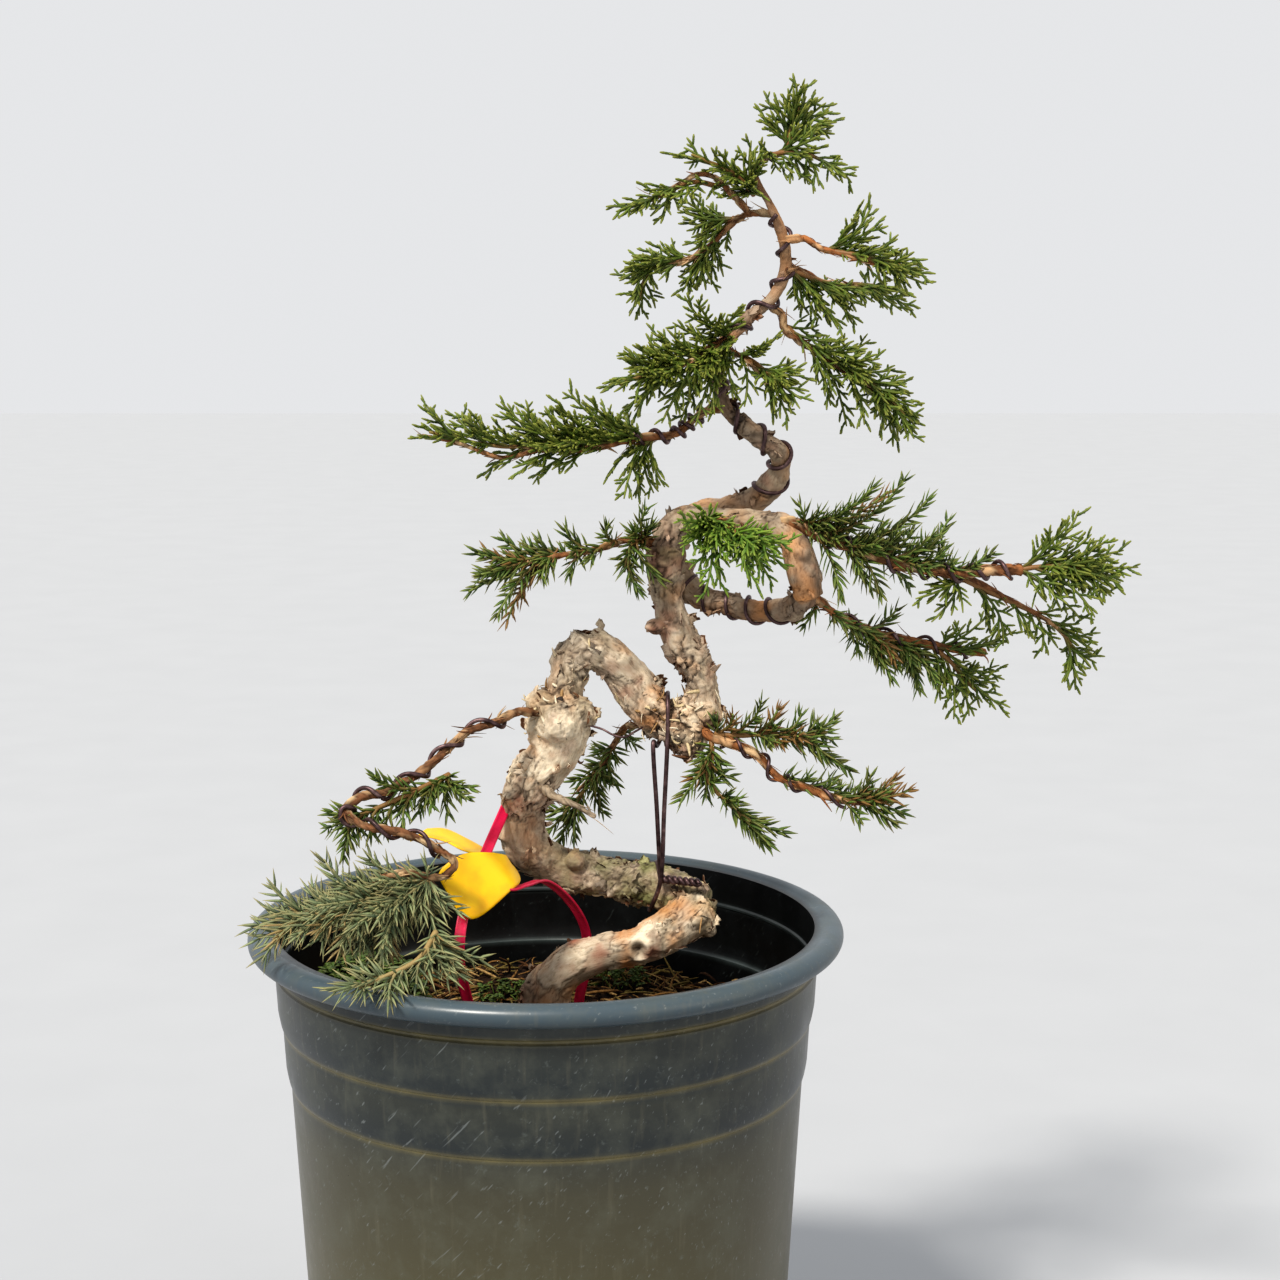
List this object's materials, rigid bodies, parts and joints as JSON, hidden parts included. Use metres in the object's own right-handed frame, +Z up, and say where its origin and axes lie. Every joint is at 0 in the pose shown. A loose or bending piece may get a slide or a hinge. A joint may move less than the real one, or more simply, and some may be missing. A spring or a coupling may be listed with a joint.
{
  "type": "bonsai tree in a pot",
  "caption": "Young wired juniper with a contorted trunk, layered leaf pads, label and strap, growing in a round black plastic nursery pot.",
  "frame": {"origin": "middle of the flat underside of the pot", "axes": "+Z up along the pot's axis; the tree's front faces -Y and its long low branches reach to +X"},
  "size_m": [0.2451, 0.1672, 0.3985],
  "materials": {
    "black_plastic": "thermoformed black polypropylene, dusty, semi-matt",
    "potting_soil": "dark loose potting mix with bark and straw litter, matt",
    "moss": "living moss, matt",
    "old_bark": "weathered cream-grey bark, peeling, matt",
    "young_bark": "orange-brown young juniper bark, matt",
    "dead_wood": "dry bleached twig, matt",
    "brown_wire": "brown anodised training wire, satin",
    "scale_leaves": "green juniper scale leaves, semi-matt",
    "needle_leaves": "green juniper needles, semi-matt",
    "grey_needles": "grey-green juniper needles with straw-brown tips, semi-matt",
    "yellow_plastic": "stiff yellow plastic sheet, satin",
    "red_plastic": "flexible red plastic strap, satin"
  },
  "bodies": {
    "root": {"branch_behind": "young_bark", "branch_bottom_right": "young_bark", "branch_front": "young_bark", "branch_long_left": "young_bark", "branch_long_right": "young_bark", "branch_long_right_fork": "young_bark", "branch_loop_front": "young_bark", "branch_low_right": "young_bark", "branch_mid_left": "young_bark", "branch_mid_right": "young_bark", "branch_top_left": "young_bark", "branch_upper_left": "young_bark", "branch_upper_right": "young_bark", "branch_upper_right_low": "young_bark", "branch_wired_left": "young_bark", "dead_twig_low": "dead_wood", "label": "yellow_plastic", "leaves_apex": "scale_leaves", "leaves_apex_right": "scale_leaves", "leaves_front": "scale_leaves", "leaves_front_right": "scale_leaves", "leaves_long_left": "scale_leaves", "leaves_long_right_fork": "scale_leaves", "leaves_long_right_tip": "scale_leaves", "leaves_loop_front": "scale_leaves", "leaves_low_right_end": "scale_leaves", "leaves_mid_right": "scale_leaves", "leaves_top_left": "scale_leaves", "leaves_top_left_low": "scale_leaves", "leaves_upper_left": "scale_leaves", "leaves_upper_left_near": "scale_leaves", "leaves_upper_right": "scale_leaves", "leaves_upper_right_low": "scale_leaves", "moss_left": "moss", "needles_behind": "needle_leaves", "needles_bottom_right": "needle_leaves", "needles_bottom_right_top": "needle_leaves", "needles_bottom_right_under": "needle_leaves", "needles_long_right": "needle_leaves", "needles_low_right": "needle_leaves", "needles_mid_left": "needle_leaves", "needles_mid_left_near": "needle_leaves", "needles_over_pot": "grey_needles", "needles_over_rim": "grey_needles", "needles_wired_left": "needle_leaves", "pot": "black_plastic", "soil": "potting_soil", "strap_long": "red_plastic", "strap_short": "red_plastic", "trunk": "old_bark", "twig_front_right": "young_bark", "wire_bottom_right": "brown_wire", "wire_guy": "brown_wire", "wire_long_left": "brown_wire", "wire_long_right": "brown_wire", "wire_loop": "brown_wire", "wire_low_right": "brown_wire", "wire_upper_trunk": "brown_wire", "wire_wired_left": "brown_wire"}
  },
  "joints": []
}
